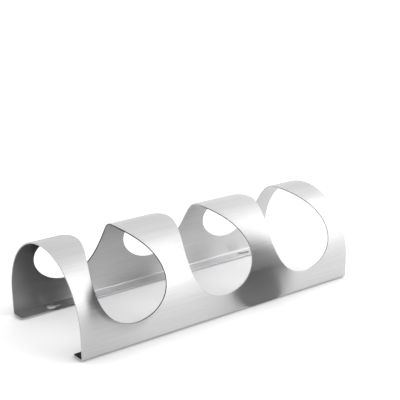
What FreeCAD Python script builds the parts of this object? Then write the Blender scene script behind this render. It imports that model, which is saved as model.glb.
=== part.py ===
import FreeCAD, Part
import math
import os

# Wine rack folded from one sheet of stainless steel: a long low tunnel with a
# half-round top and, along each long bottom edge, a flange turned inward.
# Three round openings pass through both flanks and break through the crest.
# Millimetres, +Z up. The origin is at the centre of the footprint, on the
# resting plane. X runs along the tunnel, and the front flank faces -Y.

# Driving dimensions of the sheet
LENGTH = 347.0           # along the tunnel
WIDTH = 142.0            # over the outer faces of the two flanks
HEIGHT = 98.5            # resting plane to the crest
SHEET = 1.5              # sheet thickness
BEND = 3.0               # outer radius of the bend from flank to flange
FLANGE = 18.0            # flange width, from the outer face of the flank
CORNER = 2.5             # rounding of each flange's free corners

# Driving dimensions of the bottle openings
OPENINGS = 3             # bottles held
OPENING = 80.5           # diameter, seen along the bottle
PITCH = 110.5            # between neighbouring openings
AXIS_FRONT = 64.5        # height of an opening's axis at the front flank
AXIS_BACK = 68.0         # height of an opening's axis at the back flank

# Driving dimensions of the keyholes for wall screws
KEYHOLE_HEAD = 9.0       # diameter of the round end, which passes the screw's head
KEYHOLE_NECK = 5.0       # width of the slot, which holds the screw's shank
KEYHOLE_TRAVEL = 10.0    # from the centre of the round end to the centre of the slot's end
KEYHOLE_MARGIN = 43.0    # from an end of the rack to the middle of a keyhole's length

# Driving dimensions of the pads
PAD_DIAMETER = 10.0
PAD_THICK = 1.0
PAD_END = 14.0           # from an end of the rack to the pad's centre
PAD_RIM = 0.4            # rounding of a pad's lower rim

# Worked out from the driving dimensions
CREST_RADIUS = WIDTH / 2
FLANK_TOP = HEIGHT - CREST_RADIUS      # where a flank turns into the half-round crest
FLANGE_TIP = CREST_RADIUS - FLANGE     # from the tunnel's middle plane to a flange's free edge
FLANGE_FOOT = CREST_RADIUS - BEND      # from there to where the flange turns into its bend
FLANGE_MIDDLE = (FLANGE_TIP + FLANGE_FOOT) / 2
OPENING_TILT = math.degrees(math.atan2(AXIS_BACK - AXIS_FRONT, WIDTH))
THROUGH = LENGTH + WIDTH               # long enough for a cutter to pass through the rack
CREST_ARCS = 4                         # equal arcs that make up the half-round crest
TOLERANCE = 1e-3


def vec(x, y, z):
    return FreeCAD.Vector(x, y, z)


def arc(centre_y, centre_z, radius, start, end):
    """An arc across the tunnel, its angles in degrees from +Y towards +Z."""
    points = []
    for angle in (start, (start + end) / 2, end):
        turn = math.radians(angle)
        points.append(vec(0, centre_y + radius * math.cos(turn), centre_z + radius * math.sin(turn)))
    return Part.Arc(*points).toShape()


def line(start, end):
    return Part.LineSegment(vec(0, *start), vec(0, *end)).toShape()


def fold_line():
    """The sheet's outer line across the tunnel, from the front flange's tip to the back one's."""
    shoulder = PAD_THICK + BEND            # where a bend turns into its flank
    crest_step = 180 / CREST_ARCS
    edges = [
        line((-FLANGE_TIP, PAD_THICK), (-FLANGE_FOOT, PAD_THICK)),
        arc(-FLANGE_FOOT, shoulder, BEND, 270, 180),
        line((-CREST_RADIUS, shoulder), (-CREST_RADIUS, FLANK_TOP)),
    ]
    for i in range(CREST_ARCS):
        start = 180 - i * crest_step
        edges.append(arc(0, FLANK_TOP, CREST_RADIUS, start, start - crest_step))
    edges += [
        line((CREST_RADIUS, FLANK_TOP), (CREST_RADIUS, shoulder)),
        arc(FLANGE_FOOT, shoulder, BEND, 0, -90),
        line((FLANGE_FOOT, PAD_THICK), (FLANGE_TIP, PAD_THICK)),
    ]
    return Part.Wire(edges)


def bottle_bar(x):
    """A round bar where a bottle lies, its nose down towards the front."""
    tilt = math.radians(OPENING_TILT)
    axis = vec(0, math.cos(tilt), math.sin(tilt))
    middle = vec(x, 0, (AXIS_FRONT + AXIS_BACK) / 2)
    return Part.makeCylinder(OPENING / 2, THROUGH, middle - axis * THROUGH / 2, axis)


def keyhole_bar(middle_x, y):
    """An upright bar shaped like a keyhole, its slot running towards the rack's right end."""
    depth = 3 * SHEET
    bottom = PAD_THICK - SHEET
    x = middle_x - (KEYHOLE_TRAVEL + KEYHOLE_NECK / 2 - KEYHOLE_HEAD / 2) / 2
    head = Part.makeCylinder(KEYHOLE_HEAD / 2, depth, vec(x, y, bottom))
    slot = Part.makeBox(KEYHOLE_TRAVEL, KEYHOLE_NECK, depth, vec(x, y - KEYHOLE_NECK / 2, bottom))
    slot_end = Part.makeCylinder(KEYHOLE_NECK / 2, depth, vec(x + KEYHOLE_TRAVEL, y, bottom))
    return head.fuse([slot, slot_end]).removeSplitter()


def free_corners(sheet):
    """The short upright edges at the ends of the two flanges' free edges."""
    corners = []
    for edge in sheet.Edges:
        box = edge.BoundBox
        upright = abs(box.ZLength - SHEET) < TOLERANCE and box.XLength + box.YLength < TOLERANCE
        at_tip = abs(abs(box.Center.y) - FLANGE_TIP) < TOLERANCE
        at_end = abs(abs(box.Center.x) - LENGTH / 2) < TOLERANCE
        if upright and at_tip and at_end:
            corners.append(edge)
    return corners


def folded_sheet():
    """The outer skin is cut first and thickened inward, so every cut edge is square to the sheet."""
    fold = fold_line()
    fold.translate(vec(-LENGTH / 2, 0, 0))
    skin = fold.extrude(vec(LENGTH, 0, 0))
    first = -PITCH * (OPENINGS - 1) / 2
    skin = skin.cut([bottle_bar(first + i * PITCH) for i in range(OPENINGS)])
    sheet = skin.makeOffsetShape(-SHEET, TOLERANCE, fill=True)
    sheet = sheet.makeFillet(CORNER, free_corners(sheet))
    keyhole_x = LENGTH / 2 - KEYHOLE_MARGIN
    keyholes = []
    for y in (-FLANGE_MIDDLE, FLANGE_MIDDLE):
        for x in (-keyhole_x, keyhole_x):
            keyholes.append(keyhole_bar(x, y))
    return sheet.cut(keyholes)


def pad(x, y):
    """A round pad stuck under a flange, its lower rim rounded."""
    disc = Part.makeCylinder(PAD_DIAMETER / 2, PAD_THICK, vec(x, y, 0))
    rim = [edge for edge in disc.Edges if edge.BoundBox.ZMax < TOLERANCE]
    return disc.makeFillet(PAD_RIM, rim)


def main():
    os.makedirs("parts", exist_ok=True)
    nodes = {"folded_sheet": folded_sheet()}
    pad_x = LENGTH / 2 - PAD_END
    for side, y in (("front", -FLANGE_MIDDLE), ("back", FLANGE_MIDDLE)):
        for end, x in (("left", -pad_x), ("right", pad_x)):
            nodes[f"pad_{side}_{end}"] = pad(x, y)
    for name, shape in nodes.items():
        shape.exportStep(f"parts/{name}.step")
        print(name, shape.isValid(), len(shape.Solids), round(shape.Volume, 1))


if __name__ == "__main__":
    main()
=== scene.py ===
# %% [markdown]
# # A wine rack folded from one sheet of steel
# The real rack starts as a flat sheet. A laser cuts three bottle openings and four
# keyholes, the cut edges are eased, and a press folds the sheet into a tunnel with two
# inward flanges. This lesson makes it the same way: a flat blank first, then a fold made
# with Geometry Nodes, then a brushed finish whose grain follows the metal round the bends.

# %% Load the engineering frame
import math

import bpy
from mathutils import Matrix, Vector, geometry


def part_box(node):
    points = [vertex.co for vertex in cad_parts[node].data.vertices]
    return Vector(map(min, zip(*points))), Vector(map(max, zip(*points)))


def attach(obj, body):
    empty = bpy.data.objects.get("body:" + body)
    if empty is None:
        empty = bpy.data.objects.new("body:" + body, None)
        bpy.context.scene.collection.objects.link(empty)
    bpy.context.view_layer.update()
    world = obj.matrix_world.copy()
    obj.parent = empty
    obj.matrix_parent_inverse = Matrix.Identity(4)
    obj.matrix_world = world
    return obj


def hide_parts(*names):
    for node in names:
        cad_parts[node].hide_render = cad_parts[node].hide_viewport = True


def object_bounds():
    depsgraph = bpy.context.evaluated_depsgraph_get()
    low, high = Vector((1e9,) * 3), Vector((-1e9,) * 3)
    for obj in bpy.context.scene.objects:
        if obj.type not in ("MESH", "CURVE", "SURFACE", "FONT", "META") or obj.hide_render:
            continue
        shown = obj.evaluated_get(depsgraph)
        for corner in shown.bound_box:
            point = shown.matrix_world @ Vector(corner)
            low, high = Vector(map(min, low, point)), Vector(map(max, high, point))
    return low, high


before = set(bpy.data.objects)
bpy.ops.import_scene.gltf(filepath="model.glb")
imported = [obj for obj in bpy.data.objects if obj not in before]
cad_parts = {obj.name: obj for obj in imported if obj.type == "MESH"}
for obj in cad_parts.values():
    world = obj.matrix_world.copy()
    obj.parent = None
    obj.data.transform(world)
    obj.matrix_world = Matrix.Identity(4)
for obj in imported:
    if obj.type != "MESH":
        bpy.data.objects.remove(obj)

cad_low, cad_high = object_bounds()
sheet_low, sheet_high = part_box("folded_sheet")
print("frame box, metres:", [round(v, 4) for v in (*cad_low, *cad_high)])

# %% [markdown]
# ## Sizes
# Everything is in metres. The overall sizes are read from the frame, so the rack can't
# drift away from its engineering model. The rest are the rack's own cutting sizes.

# %% Name the sizes
LENGTH = sheet_high.x - sheet_low.x
WIDTH = sheet_high.y - sheet_low.y
CREST_HEIGHT = sheet_high.z
FLANGE_HEIGHT = sheet_low.z          # underside of the flanges, on top of the pads
SHEET = 0.0015
BEND = 0.003
FLANGE = 0.018
CORNER = 0.0025
OPENINGS = 3
OPENING = 0.0805
PITCH = 0.1105
AXIS_FRONT = 0.0645
AXIS_BACK = 0.068
KEYHOLE_HEAD = 0.009
KEYHOLE_NECK = 0.005
KEYHOLE_TRAVEL = 0.010
KEYHOLE_MARGIN = 0.043
EASE = 0.0002                        # rounding of every cut edge

CREST_RADIUS = WIDTH / 2
CREST_RUN = CREST_RADIUS * math.pi / 2
FLANK_TOP = CREST_HEIGHT - CREST_RADIUS
FLANK_RUN = FLANK_TOP - FLANGE_HEIGHT - BEND
BEND_RUN = BEND * math.pi / 2
FLANGE_RUN = FLANGE - BEND
HALF_RUN = CREST_RUN + FLANK_RUN + BEND_RUN + FLANGE_RUN
print("flat blank:", round(LENGTH, 4), "by", round(2 * HALF_RUN, 4))

# %% [markdown]
# ## Where the cuts go on the flat blank
# A bottle opening is round when it is seen along the bottle, but on the flat blank it is
# a long peanut, because it wraps over the crest. The rule is simple to state: at a given
# run along the sheet, work out how far that line is above or below the bottle's axis, and
# a circle's equation gives the half width of the opening there.

# %% Draw one bottle opening on the blank
TILT = math.atan2(AXIS_BACK - AXIS_FRONT, WIDTH)
AXIS_MIDDLE = (AXIS_FRONT + AXIS_BACK) / 2
RADIUS = OPENING / 2


def above_axis(run):
    """Height over the bottle's axis of the line at this run from the crest, square to the axis."""
    turn = min(abs(run), CREST_RUN) / CREST_RADIUS
    y = math.copysign(CREST_RADIUS * math.sin(turn), run)
    z = FLANK_TOP + CREST_RADIUS * math.cos(turn) - max(abs(run) - CREST_RUN, 0)
    return (z - AXIS_MIDDLE) * math.cos(TILT) - y * math.sin(TILT)


def lowest_run(side):
    """Run from the crest to the lowest point of an opening; side is -1 at the front, 1 at the back."""
    near, far = 0.0, CREST_RUN + FLANK_RUN
    for _ in range(50):
        middle = (near + far) / 2
        if above_axis(side * middle) > -RADIUS:
            near = middle
        else:
            far = middle
    return side * near


def half_width(run):
    return math.sqrt(max(RADIUS ** 2 - above_axis(run) ** 2, 0))


def opening_outline(x, steps=96):
    """Points crowd together at both ends, where the outline turns fastest."""
    front, back = lowest_run(-1), lowest_run(1)
    runs = [front + (back - front) * (1 - math.cos(math.pi * i / steps)) / 2 for i in range(steps + 1)]
    left = [(x - half_width(run), run) for run in runs]
    right = [(x + half_width(run), run) for run in reversed(runs[1:-1])]
    return left + right


middle_opening = opening_outline(0.0)
print("opening: half width at the crest", round(half_width(0), 4), "and", len(middle_opening), "points")

# %% [markdown]
# ## Keyholes and the blank's own edge
# A keyhole is a round end that passes a screw's head, and a slot that traps its shank.
# Both outlines are lists of points, made with plain sines and cosines. Holes run clockwise
# and the outside edge runs the other way, so the metal is always on the left.

# %% Draw the keyholes and the outside edge
FLANGE_MIDDLE_RUN = HALF_RUN - FLANGE_RUN / 2


def arc_points(x, y, radius, start, end, steps):
    """Points of an arc, both ends included, its angles in degrees."""
    turns = [math.radians(start + (end - start) * i / steps) for i in range(steps + 1)]
    return [(x + radius * math.cos(turn), y + radius * math.sin(turn)) for turn in turns]


def keyhole_outline(middle_x, run):
    head, neck = KEYHOLE_HEAD / 2, KEYHOLE_NECK / 2
    x = middle_x - (KEYHOLE_TRAVEL + neck - head) / 2
    throat = math.degrees(math.asin(neck / head))
    head_points = arc_points(x, run, head, 360 - throat, throat, 24)
    slot_points = arc_points(x + KEYHOLE_TRAVEL, run, neck, 90, -90, 12)
    return head_points + slot_points


def steps_between(start, end, size):
    """Evenly spaced values from start up to, but not including, end."""
    count = max(round((end - start) / size), 1)
    return [start + (end - start) * i / count for i in range(count)]


GRID = 0.004
half_rows = (steps_between(0, CREST_RUN, GRID)
             + steps_between(CREST_RUN, CREST_RUN + FLANK_RUN, GRID)
             + steps_between(CREST_RUN + FLANK_RUN, CREST_RUN + FLANK_RUN + BEND_RUN, BEND_RUN / 8)
             + steps_between(HALF_RUN - FLANGE_RUN, HALF_RUN - CORNER, GRID))
rows = [-run for run in reversed(half_rows[1:])] + half_rows
columns = steps_between(-LENGTH / 2 + CORNER, LENGTH / 2 - CORNER, GRID) + [LENGTH / 2 - CORNER]


def blank_outline():
    """The outside edge, anticlockwise, with a point wherever a row or a column ends."""
    end_x, corner_x, corner_run = LENGTH / 2, LENGTH / 2 - CORNER, HALF_RUN - CORNER
    right = [(end_x, run) for run in rows]
    left = [(-end_x, run) for run in reversed(rows)]
    top = [(x, HALF_RUN) for x in reversed(columns[1:-1])]
    bottom = [(x, -HALF_RUN) for x in columns[1:-1]]
    return (right + arc_points(corner_x, corner_run, CORNER, 0, 90, 8)
            + top + arc_points(-corner_x, corner_run, CORNER, 90, 180, 8)
            + left + arc_points(-corner_x, -corner_run, CORNER, 180, 270, 8)
            + bottom + arc_points(corner_x, -corner_run, CORNER, 270, 360, 8))


outlines = [blank_outline()]
first_opening = -PITCH * (OPENINGS - 1) / 2
outlines += [opening_outline(first_opening + i * PITCH) for i in range(OPENINGS)]
keyhole_x = LENGTH / 2 - KEYHOLE_MARGIN
outlines += [keyhole_outline(x, run)
             for x in (-keyhole_x, keyhole_x)
             for run in (-FLANGE_MIDDLE_RUN, FLANGE_MIDDLE_RUN)]
print("outlines:", len(outlines), "with", sum(len(loop) for loop in outlines), "points")

# %% [markdown]
# ## From outlines to a flat blank with eased edges
# Each outline is pushed into the metal a few times, at a few depths, which gives a stack
# of matching rings: the rounded upper edge, the cut face and the rounded lower edge.
# Blender's Delaunay function then fills the rest of both faces with tidy triangles.

# %% Push an outline into the metal
BORDER = 0.0012                      # the first band of faces beside every cut
half_ease = EASE * (1 - math.sin(math.radians(45)))
EDGE_PROFILE = [                     # how far into the metal, how far down, and which way it
    (EASE, 0, 0, 1),                 # faces: 1 off the metal, then 1 up or -1 down
    (half_ease, half_ease, 1, 1),
    (0, EASE, 1, 0),
    (0, SHEET - EASE, 1, 0),
    (half_ease, SHEET - half_ease, 1, -1),
    (EASE, SHEET, 0, -1),
]
SHARPEST = 0.5                       # a corner is never pushed more than twice the distance


def pushed(loop, distance):
    """The outline moved to its left, each corner along the line that halves it."""
    moved = []
    for i, (x, y) in enumerate(loop):
        before, after = Vector(loop[i - 1]), Vector(loop[(i + 1) % len(loop)])
        here = Vector((x, y))
        step_in = (here - before).normalized()
        step_out = (after - here).normalized()
        left_in = Vector((-step_in.y, step_in.x))
        left_out = Vector((-step_out.y, step_out.x))
        miter = (left_in + left_out).normalized()
        reach = distance / max(miter.dot(left_in), SHARPEST)
        moved.append(tuple(here + miter * reach))
    return moved


borders = [pushed(loop, BORDER) for loop in outlines]
print("rings in an edge:", len(EDGE_PROFILE))

# %% [markdown]
# ## Filling both faces
# A grid of points over the whole blank lets it bend smoothly later. Points that fall in a
# hole or too near a cut are left out, and the Delaunay function joins the rest with the
# outlines. It also fills the holes, so those triangles are dropped again.

# %% Fill the faces
def inside_loop(x, y, loop):
    """Counts how often a line to the left crosses the loop: odd means inside."""
    inside = False
    for (ax, ay), (bx, by) in zip(loop, loop[1:] + loop[:1]):
        if (ay > y) != (by > y) and x > ax + (y - ay) * (bx - ax) / (by - ay):
            inside = not inside
    return inside


def on_metal(x, y, holes):
    for low_x, high_x, low_y, high_y, loop in holes:
        if low_x < x < high_x and low_y < y < high_y and inside_loop(x, y, loop):
            return False
    return True


def with_box(loop):
    xs, ys = [x for x, _ in loop], [y for _, y in loop]
    return min(xs), max(xs), min(ys), max(ys), loop


KEEP_OFF = BORDER + 0.001            # grid points stay this far from every cut
wide_holes = [with_box(pushed(loop, KEEP_OFF)) for loop in outlines[1:]]
grid = [(x, run) for x in columns[1:-1] for run in rows if on_metal(x, run, wide_holes)]
points, loop_edges = [], []
for loop in borders:
    start, count = len(points), len(loop)
    points += loop
    loop_edges += [(start + i, start + (i + 1) % count) for i in range(count)]
points += grid
KEEP_INSIDE = 1                      # the function's mode: fill what the outside edge encloses
MERGE = 1e-7                         # two points nearer than this would become one
filled = geometry.delaunay_2d_cdt([Vector(p) for p in points], loop_edges, [], KEEP_INSIDE, MERGE)
flat_points = filled[0]
flat_faces = filled[2]
hole_boxes = [with_box(loop) for loop in borders[1:]]
triangles = []
for face in flat_faces:
    centre = sum((flat_points[i] for i in face), Vector((0, 0))) / len(face)
    if on_metal(centre.x, centre.y, hole_boxes):
        triangles.append(tuple(face))
assert len(flat_points) == len(points), "two points of the blank fell on each other"
print("faces on one side of the blank:", len(triangles))

# %% [markdown]
# ## Sewing the blank together
# The outer skin, the inner skin and the rings between them become one closed mesh. Every
# point also carries two notes: the way its skin faces while the blank is flat, and whether
# it lies on a cut edge, which is brighter than brushed metal. The map called grain is the
# flat blank itself, so a pattern painted on it can't stretch when the sheet is folded.

# %% Build the blank
MAP_SCALE = 10                       # turns of the grain map to the metre


def blank_mesh():
    """Outer skin, inner skin and, for each outline, the rings between them."""
    corners = [(x, y, 0) for x, y in flat_points] + [(x, y, -SHEET) for x, y in flat_points]
    inner = len(flat_points)
    faces = list(triangles) + [tuple(inner + i for i in reversed(face)) for face in triangles]
    bends = [(0, 0, 1)] * inner + [(0, 0, -1)] * inner
    rims = [0.0] * (2 * inner)
    first = 0
    for loop in outlines:
        count = len(loop)
        rings = [[first + i for i in range(count)]]
        outward = [(Vector(here) - Vector(p)).normalized() for here, p in zip(loop, pushed(loop, EASE))]
        for push, depth, lean, rise in EDGE_PROFILE:
            rings.append([len(corners) + i for i in range(count)])
            corners += [(x, y, -depth) for x, y in pushed(loop, push)]
            bends += [tuple(Vector((*(away * lean), rise)).normalized()) for away in outward]
            rims += [float(lean)] * count
        rings.append([inner + first + i for i in range(count)])
        for upper, lower in zip(rings, rings[1:]):
            for i in range(count):
                j = (i + 1) % count
                faces.append((upper[i], lower[i], lower[j], upper[j]))
        first += count
    mesh = bpy.data.meshes.new("flat_blank")
    mesh.from_pydata(corners, [], faces)
    mesh.attributes.new("flat_normal", "FLOAT_VECTOR", "POINT")
    mesh.attributes.new("rim", "FLOAT", "POINT")
    for item, bend in zip(mesh.attributes["flat_normal"].data, bends):
        item.vector = bend
    for item, value in zip(mesh.attributes["rim"].data, rims):
        item.value = value
    return mesh


blank = blank_mesh()
grain = blank.uv_layers.new(name="grain")
for corner in blank.loops:
    place = blank.vertices[corner.vertex_index].co
    grain.data[corner.index].uv = place.xy * MAP_SCALE
print("blank:", len(blank.vertices), "points and", len(blank.polygons), "faces")

# %% [markdown]
# ## Folding the blank with Geometry Nodes
# The fold follows one rule from the crest outwards on both sides: round the crest, down
# the flank, round the small bend and in along the flange. Nodes that work out this rule
# for every point keep the cut edges square to the sheet, just as a real press does. The
# sizes are named inputs, and the modifier is given them from the sizes above.

# %% Helpers that add one node each
def helpers_for(nodes, link):
    """Each helper adds a node and hands back its output, so a formula reads as a formula."""
    def fill(sockets, values):
        for socket, value in zip(sockets, values):
            if isinstance(value, (int, float)):
                socket.default_value = value
            else:
                link(value, socket)

    def calc(operation, *values):
        node = nodes.new("ShaderNodeMath")
        node.operation = operation
        fill(node.inputs, values)
        return node.outputs[0]

    def vector(x, y, z):
        node = nodes.new("ShaderNodeCombineXYZ")
        fill(node.inputs, (x, y, z))
        return node.outputs[0]

    def parts_of(socket):
        node = nodes.new("ShaderNodeSeparateXYZ")
        link(socket, node.inputs[0])
        return node.outputs

    def add_scaled(base, direction, amount):
        node = nodes.new("ShaderNodeVectorMath")
        node.operation = "MULTIPLY_ADD"
        link(direction, node.inputs[0])
        link(vector(amount, amount, amount), node.inputs[1])
        link(base, node.inputs[2])
        return node.outputs[0]

    return calc, vector, parts_of, add_scaled


print("node helpers:", [helper.__name__ for helper in helpers_for(None, None)])

# %% Write the fold as a node tree
def fold_tree():
    tree = bpy.data.node_groups.new("fold_the_sheet", "GeometryNodeTree")
    tree.interface.new_socket("Blank", in_out="INPUT", socket_type="NodeSocketGeometry")
    for name in ("Crest Radius", "Crest Height", "Flank Run", "Bend Radius"):
        tree.interface.new_socket(name, in_out="INPUT", socket_type="NodeSocketFloat")
    tree.interface.new_socket("Finish", in_out="INPUT", socket_type="NodeSocketMaterial")
    tree.interface.new_socket("Sheet", in_out="OUTPUT", socket_type="NodeSocketGeometry")
    nodes, link = tree.nodes, tree.links.new
    given = nodes.new("NodeGroupInput").outputs
    calc, vector, parts_of, add_scaled = helpers_for(nodes, link)

    # how much of a point's run lies on the crest, the flank, the bend and the flange
    radius, height = given["Crest Radius"], given["Crest Height"]
    flank_run, bend_radius = given["Flank Run"], given["Bend Radius"]
    x, run, depth = parts_of(nodes.new("GeometryNodeInputPosition").outputs[0])
    side, reach = calc("SIGN", run), calc("ABSOLUTE", run)
    crest_run = calc("MULTIPLY", radius, math.pi / 2)
    bend_run = calc("MULTIPLY", bend_radius, math.pi / 2)
    crest = calc("MINIMUM", reach, crest_run)
    past_crest = calc("MAXIMUM", calc("SUBTRACT", reach, crest_run), 0)
    flank = calc("MINIMUM", past_crest, flank_run)
    past_flank = calc("MAXIMUM", calc("SUBTRACT", past_crest, flank_run), 0)
    bend = calc("MINIMUM", past_flank, bend_run)
    flange = calc("MAXIMUM", calc("SUBTRACT", past_flank, bend_run), 0)
    crest_turn, bend_turn = calc("DIVIDE", crest, radius), calc("DIVIDE", bend, bend_radius)

    # where that leaves the point, seen along the rack
    out_crest = calc("MULTIPLY", radius, calc("SINE", crest_turn))
    in_bend = calc("MULTIPLY", bend_radius, calc("SUBTRACT", 1, calc("COSINE", bend_turn)))
    out = calc("SUBTRACT", calc("SUBTRACT", out_crest, in_bend), flange)
    up_crest = calc("MULTIPLY", radius, calc("SUBTRACT", calc("COSINE", crest_turn), 1))
    down_bend = calc("MULTIPLY", bend_radius, calc("SINE", bend_turn))
    up = calc("SUBTRACT", calc("SUBTRACT", calc("ADD", height, up_crest), flank), down_bend)
    turn = calc("ADD", crest_turn, bend_turn)
    lean = calc("MULTIPLY", side, calc("SINE", turn))
    outward = vector(0, lean, calc("COSINE", turn))
    along = vector(0, calc("COSINE", turn), calc("MULTIPLY", lean, -1))
    folded = add_scaled(vector(x, calc("MULTIPLY", side, out), up), outward, depth)

    # the flat blank's normal, turned with the sheet
    flat_normal = nodes.new("GeometryNodeInputNamedAttribute")
    flat_normal.data_type = "FLOAT_VECTOR"
    flat_normal.inputs["Name"].default_value = "flat_normal"
    normal_x, normal_run, normal_out = parts_of(flat_normal.outputs["Attribute"])
    normal = add_scaled(vector(normal_x, 0, 0), along, normal_run)
    normal = add_scaled(normal, outward, normal_out)
    keep_normal = nodes.new("GeometryNodeStoreNamedAttribute")
    keep_normal.data_type = "FLOAT_VECTOR"
    keep_normal.inputs["Name"].default_value = "skin_normal"
    link(given["Blank"], keep_normal.inputs["Geometry"])
    link(normal, keep_normal.inputs["Value"])

    # move the points, then hand over one mesh with its finish
    move = nodes.new("GeometryNodeSetPosition")
    link(keep_normal.outputs[0], move.inputs["Geometry"])
    link(folded, move.inputs["Position"])
    realize = nodes.new("GeometryNodeRealizeInstances")
    link(move.outputs[0], realize.inputs[0])
    finish = nodes.new("GeometryNodeSetMaterial")
    link(realize.outputs[0], finish.inputs["Geometry"])
    link(given["Finish"], finish.inputs["Material"])
    link(finish.outputs[0], nodes.new("NodeGroupOutput").inputs[0])
    return tree


fold = fold_tree()
print("nodes in the fold:", len(fold.nodes))

# %% [markdown]
# ## Brushed stainless steel
# A belt drags fine grit along the sheet before it is cut, so the scratches run the length
# of the rack. They blur reflections across the grain far more than along it, which is what
# the shader's anisotropy does. The finish is painted on the flat blank's own map, so the
# grain follows the metal over the crest and round the bends.

# %% Helpers for materials
def new_material(name):
    material = bpy.data.materials.new(name)
    material.use_nodes = True
    nodes = material.node_tree.nodes
    return material, nodes, material.node_tree.links.new, nodes["Principled BSDF"]


def streaks(nodes, link, coordinates, along, across, detail, seed):
    """Noise drawn out along X: about one streak per along and across, in metres."""
    stretch = nodes.new("ShaderNodeMapping")
    stretch.inputs["Scale"].default_value = (1 / along, 1 / across, 1)
    stretch.inputs["Location"].default_value = (seed, seed, 0)
    link(coordinates, stretch.inputs["Vector"])
    noise = nodes.new("ShaderNodeTexNoise")
    noise.inputs["Scale"].default_value = 1
    noise.inputs["Detail"].default_value = detail
    link(stretch.outputs[0], noise.inputs["Vector"])
    return noise.outputs["Fac"]


def remap_range(nodes, link, value, from_low, from_high, low, high):
    """Moves a value in proportion from one range to another, and stops at its ends."""
    node = nodes.new("ShaderNodeMapRange")
    numbers = {"From Min": from_low, "From Max": from_high, "To Min": low, "To Max": high}
    for name, number in numbers.items():
        node.inputs[name].default_value = number
    link(value, node.inputs["Value"])
    return node.outputs[0]


NOISE_LOW, NOISE_HIGH = 0.3, 0.7     # noise lies mostly between these


def remap(nodes, link, noise, low, high):
    """Spreads a noise from low to high."""
    return remap_range(nodes, link, noise, NOISE_LOW, NOISE_HIGH, low, high)


MIX_SOCKETS = {"FLOAT": (2, 3, 0), "RGBA": (6, 7, 2)}   # first and second input, then output


def mix(nodes, link, kind, factor, first, second):
    """From first at factor 0 to second at factor 1."""
    node = nodes.new("ShaderNodeMix")
    node.data_type = kind
    first_place, second_place, result = MIX_SOCKETS[kind]
    for place, value in ((0, factor), (first_place, first), (second_place, second)):
        if isinstance(value, bpy.types.NodeSocket):
            link(value, node.inputs[place])
        else:
            node.inputs[place].default_value = value
    return node.outputs[result]


print("kinds of mix:", list(MIX_SOCKETS))

# %% Make the brushed finish
DULL_GRAIN = (0.585, 0.585, 0.59, 1)
CLEAR_GRAIN = (0.66, 0.66, 0.665, 1)
SCRATCH = (0.5, 0.5, 0.505, 1)
CUT_EDGE = (0.7, 0.7, 0.71, 1)
CUT_ROUGHNESS = 0.42
QUARTER_TURN = 0.25                  # the blur lies across the grain


def brushed_steel():
    material, nodes, link, shader = new_material("brushed_stainless_steel")
    uv = nodes.new("ShaderNodeUVMap")
    uv.uv_map = "grain"
    metres = nodes.new("ShaderNodeMapping")
    metres.inputs["Scale"].default_value = (1 / MAP_SCALE,) * 3
    link(uv.outputs[0], metres.inputs["Vector"])
    place = metres.outputs[0]
    fine = streaks(nodes, link, place, along=0.012, across=0.00025, detail=4, seed=3)
    coarse = streaks(nodes, link, place, along=0.09, across=0.0016, detail=3, seed=11)
    clouds = streaks(nodes, link, place, along=0.07, across=0.05, detail=2, seed=29)
    rim = nodes.new("ShaderNodeAttribute")
    rim.attribute_name = "rim"

    tone = mix(nodes, link, "RGBA", remap(nodes, link, coarse, 0, 1), DULL_GRAIN, CLEAR_GRAIN)
    tone = mix(nodes, link, "RGBA", remap(nodes, link, fine, 0, 0.35), tone, SCRATCH)
    tone = mix(nodes, link, "RGBA", rim.outputs["Fac"], tone, CUT_EDGE)
    link(tone, shader.inputs["Base Color"])

    rough = remap(nodes, link, coarse, 0.31, 0.37)
    smudge = remap(nodes, link, clouds, -0.025, 0.035)
    total = nodes.new("ShaderNodeMath")
    total.operation = "ADD"
    link(rough, total.inputs[0])
    link(smudge, total.inputs[1])
    rough = mix(nodes, link, "FLOAT", rim.outputs["Fac"], total.outputs[0], CUT_ROUGHNESS)
    link(rough, shader.inputs["Roughness"])

    bump = nodes.new("ShaderNodeBump")
    bump.inputs["Strength"].default_value = 0.35
    bump.inputs["Distance"].default_value = 0.00002
    link(fine, bump.inputs["Height"])
    link(bump.outputs[0], shader.inputs["Normal"])
    tangent = nodes.new("ShaderNodeTangent")
    tangent.direction_type = "UV_MAP"
    tangent.uv_map = "grain"
    link(tangent.outputs[0], shader.inputs["Tangent"])
    shader.inputs["Metallic"].default_value = 1
    shader.inputs["Anisotropic"].default_value = 0.95
    shader.inputs["Anisotropic Rotation"].default_value = QUARTER_TURN
    return material


steel = brushed_steel()
print("steel nodes:", len(steel.node_tree.nodes))

# %% [markdown]
# ## Fold it
# The modifier's inputs are set by their sockets' identifiers. The result is then copied to
# a plain mesh, and each corner gets the true direction of the skin that the fold kept for
# it, so a mirror-like metal shows no facets.

# %% Fold the blank and give it true normals
def folded_sheet():
    flat = bpy.data.objects.new("flat_blank", blank)
    bpy.context.scene.collection.objects.link(flat)
    modifier = flat.modifiers.new("fold", "NODES")
    modifier.node_group = fold
    sizes = {"Crest Radius": CREST_RADIUS, "Crest Height": CREST_HEIGHT, "Flank Run": FLANK_RUN,
             "Bend Radius": BEND, "Finish": steel}
    for socket in fold.interface.items_tree:
        if socket.in_out == "INPUT" and socket.name in sizes:
            modifier[socket.identifier] = sizes[socket.name]
    depsgraph = bpy.context.evaluated_depsgraph_get()
    mesh = bpy.data.meshes.new_from_object(flat.evaluated_get(depsgraph), depsgraph=depsgraph)
    bpy.data.objects.remove(flat)
    mesh.name = "rack_sheet"
    normals = [Vector(item.vector).normalized() for item in mesh.attributes["skin_normal"].data]
    mesh.shade_smooth()
    mesh.normals_split_custom_set_from_vertices(normals)
    for name in ("flat_normal", "skin_normal"):
        mesh.attributes.remove(mesh.attributes[name])
    piece = bpy.data.objects.new("rack_sheet", mesh)
    bpy.context.scene.collection.objects.link(piece)
    return piece


rack_sheet = folded_sheet()
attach(rack_sheet, "root")
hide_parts("folded_sheet")

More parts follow.
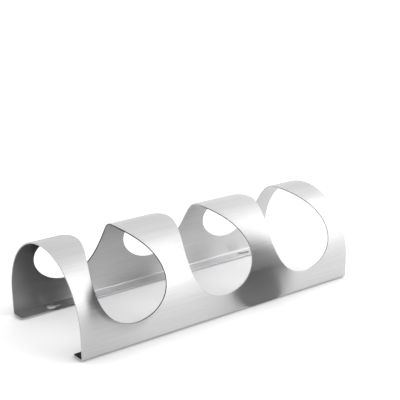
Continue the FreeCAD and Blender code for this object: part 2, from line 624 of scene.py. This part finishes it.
# %% [markdown]
# ## Pads
# Four small silicone pads keep the steel off the table. Their engineering shape is right
# as it is, so they only get a finish: milky, soft-looking and slightly mottled.

# %% Finish the pads
MILKY_GREY = (0.72, 0.73, 0.74, 1)
MILKY_WHITE = (0.8, 0.81, 0.82, 1)


def silicone():
    material, nodes, link, shader = new_material("milky_silicone")
    place = nodes.new("ShaderNodeTexCoord").outputs["Object"]
    mottle = streaks(nodes, link, place, along=0.002, across=0.002, detail=3, seed=5)
    tone = mix(nodes, link, "RGBA", remap(nodes, link, mottle, 0, 1), MILKY_GREY, MILKY_WHITE)
    link(tone, shader.inputs["Base Color"])
    link(remap(nodes, link, mottle, 0.45, 0.6), shader.inputs["Roughness"])
    shader.inputs["Subsurface Weight"].default_value = 0.3
    shader.inputs["Subsurface Scale"].default_value = 0.001
    return material


pad_finish = silicone()
pads = [node for name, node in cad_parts.items() if name.startswith("pad_")]
for pad in pads:
    pad.data.materials.clear()
    pad.data.materials.append(pad_finish)
print("pads finished:", len(pads))

# %% [markdown]
# ## A pale floor
# Brushed metal only shows what it reflects, so the studio is part of the finish. The floor
# glows a little for the camera, and less for reflections, so that it fades to white away
# from the rack. An ambient occlusion node takes most of the glow away close to the metal,
# so the shadow stays. Diffuse rays don't see the glow, so it changes nothing but what the
# camera and the metal's reflections see.

# %% Lay the floor
OPEN_GLOW, NEAR_GLOW = 0.53, 0.12    # far from the rack, and close under it
GLOW_IN_METAL = 0.6                  # the share of the glow that reflections see
FLOOR_SIDE = 12.0


def pale_floor():
    material, nodes, link, shader = new_material("pale_floor")
    shader.inputs["Base Color"].default_value = (0.8, 0.8, 0.8, 1)
    shader.inputs["Roughness"].default_value = 0.6
    shader.inputs["Specular IOR Level"].default_value = 0.2
    paths = nodes.new("ShaderNodeLightPath")
    seen = mix(nodes, link, "FLOAT", paths.outputs["Is Glossy Ray"], 0.0, GLOW_IN_METAL)
    seen = mix(nodes, link, "FLOAT", paths.outputs["Is Camera Ray"], seen, 1.0)
    openness = nodes.new("ShaderNodeAmbientOcclusion")
    openness.inputs["Distance"].default_value = 0.12
    glow = nodes.new("ShaderNodeMath")
    glow.operation = "MULTIPLY"
    shadowed, unshadowed = 0.45, 1.0
    link(remap_range(nodes, link, openness.outputs["AO"], shadowed, unshadowed, NEAR_GLOW, OPEN_GLOW),
         glow.inputs[0])
    link(seen, glow.inputs[1])
    shader.inputs["Emission Color"].default_value = (1, 1, 1, 1)
    link(glow.outputs[0], shader.inputs["Emission Strength"])
    half = FLOOR_SIDE / 2
    mesh = bpy.data.meshes.new("floor")
    mesh.from_pydata([(-half, -half, 0), (half, -half, 0), (half, half, 0), (-half, half, 0)], [],
                     [(0, 1, 2, 3)])
    mesh.materials.append(material)
    floor = bpy.data.objects.new("floor", mesh)
    bpy.context.scene.collection.objects.link(floor)
    return floor


floor = pale_floor()
print("floor, metres:", [round(size, 2) for size in floor.dimensions])

# %% [markdown]
# ## Light
# A large soft box stands high on the right and a pale world lies all round. The world is
# darker on the camera's side in reflections only, which is what gives a half-round crest
# its shading: each strip of it mirrors another part of the sky.

# %% Light it
DIFFUSE_SKY = 0.6
SKY_IN_FRONT, SKY_BEHIND = 0.35, 1.0 # what metal sees on the camera's side and beyond the rack


def pale_world():
    """White to the eye; metal sees it white behind the rack and dimmer in front of it."""
    world = bpy.data.worlds.new("pale_studio")
    world.use_nodes = True
    bpy.context.scene.world = world
    nodes, link = world.node_tree.nodes, world.node_tree.links.new
    background = nodes["Background"]
    paths = nodes.new("ShaderNodeLightPath")
    direction = nodes.new("ShaderNodeSeparateXYZ")
    link(nodes.new("ShaderNodeTexCoord").outputs["Generated"], direction.inputs[0])
    front_ends, back_starts = -0.5, 0.4
    sky = remap_range(nodes, link, direction.outputs["Y"], front_ends, back_starts,
                      SKY_IN_FRONT, SKY_BEHIND)
    in_metal = mix(nodes, link, "FLOAT", paths.outputs["Is Glossy Ray"], DIFFUSE_SKY, sky)
    strength = mix(nodes, link, "FLOAT", paths.outputs["Is Camera Ray"], in_metal, 1.0)
    background.inputs["Color"].default_value = (1, 1, 1, 1)
    link(strength, background.inputs["Strength"])


def soft_box(name, place, target, width, height, power):
    """A rectangular lamp at a place, turned to face the target."""
    lamp = bpy.data.lights.new(name, "AREA")
    lamp.shape = "RECTANGLE"
    lamp.size, lamp.size_y, lamp.energy = width, height, power
    box = bpy.data.objects.new(name, lamp)
    box.location = place
    box.rotation_euler = (Vector(place) - Vector(target)).to_track_quat("Z", "Y").to_euler()
    bpy.context.scene.collection.objects.link(box)
    return box


pale_world()
rack_middle = (cad_low + cad_high) / 2
key = soft_box("key", (0.85, -0.8, 0.9), rack_middle, width=1.6, height=1.5, power=16)
print("soft box stands", round((key.location - rack_middle).length, 2), "metres from the rack")

# %% [markdown]
# ## Painted reflections of the bottles
# The rack's bottles are left out, but their dark reflections in the steel are painted in:
# two bottle-shaped dark shapes stand in for the rack's load, one upright beside it and one
# lying through its left opening, and give the metal something dark to reflect, which shows
# its shape. A dark round lies on the floor by each, a painted shadow of its bottle. The
# camera doesn't see them and they cast no shadow: only the steel's reflections know them.

# %% Make a shape that only reflections see
ROUND_SIDES = 48


def painted_reflection(name, profile, placing, finish):
    """A round dark shape that only reflections see, a painted reflection or painted shadow, from
    (height, radius) pairs, turned and moved by a matrix.
    """
    corners, faces = [], []
    for height, radius in profile:
        ring = arc_points(0, 0, radius, 0, 360, ROUND_SIDES)[:-1]
        corners += [placing @ Vector((x, y, height)) for x, y in ring]
    for level in range(len(profile) - 1):
        low, high = level * ROUND_SIDES, (level + 1) * ROUND_SIDES
        for i in range(ROUND_SIDES):
            j = (i + 1) % ROUND_SIDES
            faces.append((low + i, low + j, high + j, high + i))
    mesh = bpy.data.meshes.new(name)
    mesh.from_pydata(corners, [], faces)
    mesh.shade_smooth()
    mesh.materials.append(finish)
    stand_in = bpy.data.objects.new(name, mesh)
    bpy.context.scene.collection.objects.link(stand_in)
    stand_in.visible_camera = False
    stand_in.visible_diffuse = False
    stand_in.visible_shadow = False
    stand_in.visible_transmission = False


# A dark matt material for painted reflections and painted shadows.
def painted_dark(name, tone):
    material, _, _, shader = new_material(name)
    shader.inputs["Base Color"].default_value = (tone, tone, tone, 1)
    shader.inputs["Specular IOR Level"].default_value = 0
    return material


# Black for the painted bottle reflections and the lying bottle's painted shadow, grey for the upright
# bottle's painted shadow.
black, grey = painted_dark("painted_reflection_and_shadow_black", 0.02), painted_dark("painted_shadow_grey", 0.2)
print("painted_dark_materials:", black.name, grey.name)

# %% Set the painted reflections and their painted shadows
BOTTLE_RADIUS = 0.038
BOTTLE = [(0, 0.034), (0.003, BOTTLE_RADIUS), (0.19, BOTTLE_RADIUS),
          (0.21, 0.03), (0.23, 0.0145), (0.3, 0.0145)]
SHADE = [(0.0005, 0), (0.0005, BOTTLE_RADIUS)]      # a dark round just over the floor, a painted shadow

# The upright bottle's painted reflection beside the rack, and its painted shadow on the floor towards
# the rack.
standing = Matrix.Translation((0.107, -0.1515, 0))
toward_rack = Matrix.Rotation(math.radians(130), 4, "Z") @ Matrix.Translation((0.05, 0, 0))
drawn_out = Matrix.Diagonal((1.6, 0.8, 1, 1))
painted_reflection("standing_bottle_reflection", BOTTLE, standing, black)
painted_reflection("standing_shade", SHADE, standing @ toward_rack @ drawn_out, grey)

# The lying bottle's painted shadow on the floor under the left opening, then its painted reflection.
under_opening = Matrix.Translation((first_opening, 0, 0))
drawn_out = Matrix.Diagonal((1.1, 1.7, 1, 1))
painted_reflection("lying_shade", SHADE, under_opening @ drawn_out, black)
FOOT_BEHIND = 0.101                  # from the rack's middle back to the lying bottle's foot
axis_height = AXIS_MIDDLE - (RADIUS - BOTTLE_RADIUS) + FOOT_BEHIND * math.tan(TILT)
foot = Matrix.Translation((first_opening, FOOT_BEHIND, axis_height))
nose_down = Matrix.Rotation(math.pi / 2 + TILT, 4, "X")
painted_reflection("lying_bottle_reflection", BOTTLE, foot @ nose_down, black)
print("lying flag's foot is", round(axis_height, 4), "metres up")

# %% [markdown]
# ## Camera
# A longish lens about a metre away keeps the rack's far end from shrinking too fast. The
# camera looks down along the row of openings, with the left end nearest. A small shift of
# the lens sets the rack low in the frame and keeps its uprights as they are.

# %% Set the camera
CAMERA_PLACE = (-0.5667, -0.7817, 0.4041)
AZIMUTH, ELEVATION, ROLL = (math.radians(angle) for angle in (-36.87, 19.38, -0.78))
SENSOR, LENS, SHIFT_UP = 36, 85.56, 0.1


def set_camera():
    lens = bpy.data.cameras.new("camera")
    lens.sensor_width, lens.lens, lens.shift_y = SENSOR, LENS, SHIFT_UP
    lens.clip_start, lens.clip_end = 0.05, 50
    camera = bpy.data.objects.new("camera", lens)
    flat = math.cos(ELEVATION)
    back = Vector((math.sin(AZIMUTH) * flat, -math.cos(AZIMUTH) * flat, math.sin(ELEVATION)))
    turn = (-back).to_track_quat("-Z", "Y").to_matrix() @ Matrix.Rotation(ROLL, 3, "Z")
    camera.matrix_world = Matrix.Translation(CAMERA_PLACE) @ turn.to_4x4()
    bpy.context.scene.collection.objects.link(camera)
    bpy.context.scene.camera = camera


set_camera()
bpy.context.scene.view_settings.view_transform = "Standard"
print("camera stands", round((Vector(CAMERA_PLACE) - rack_middle).length, 2), "metres from the rack")
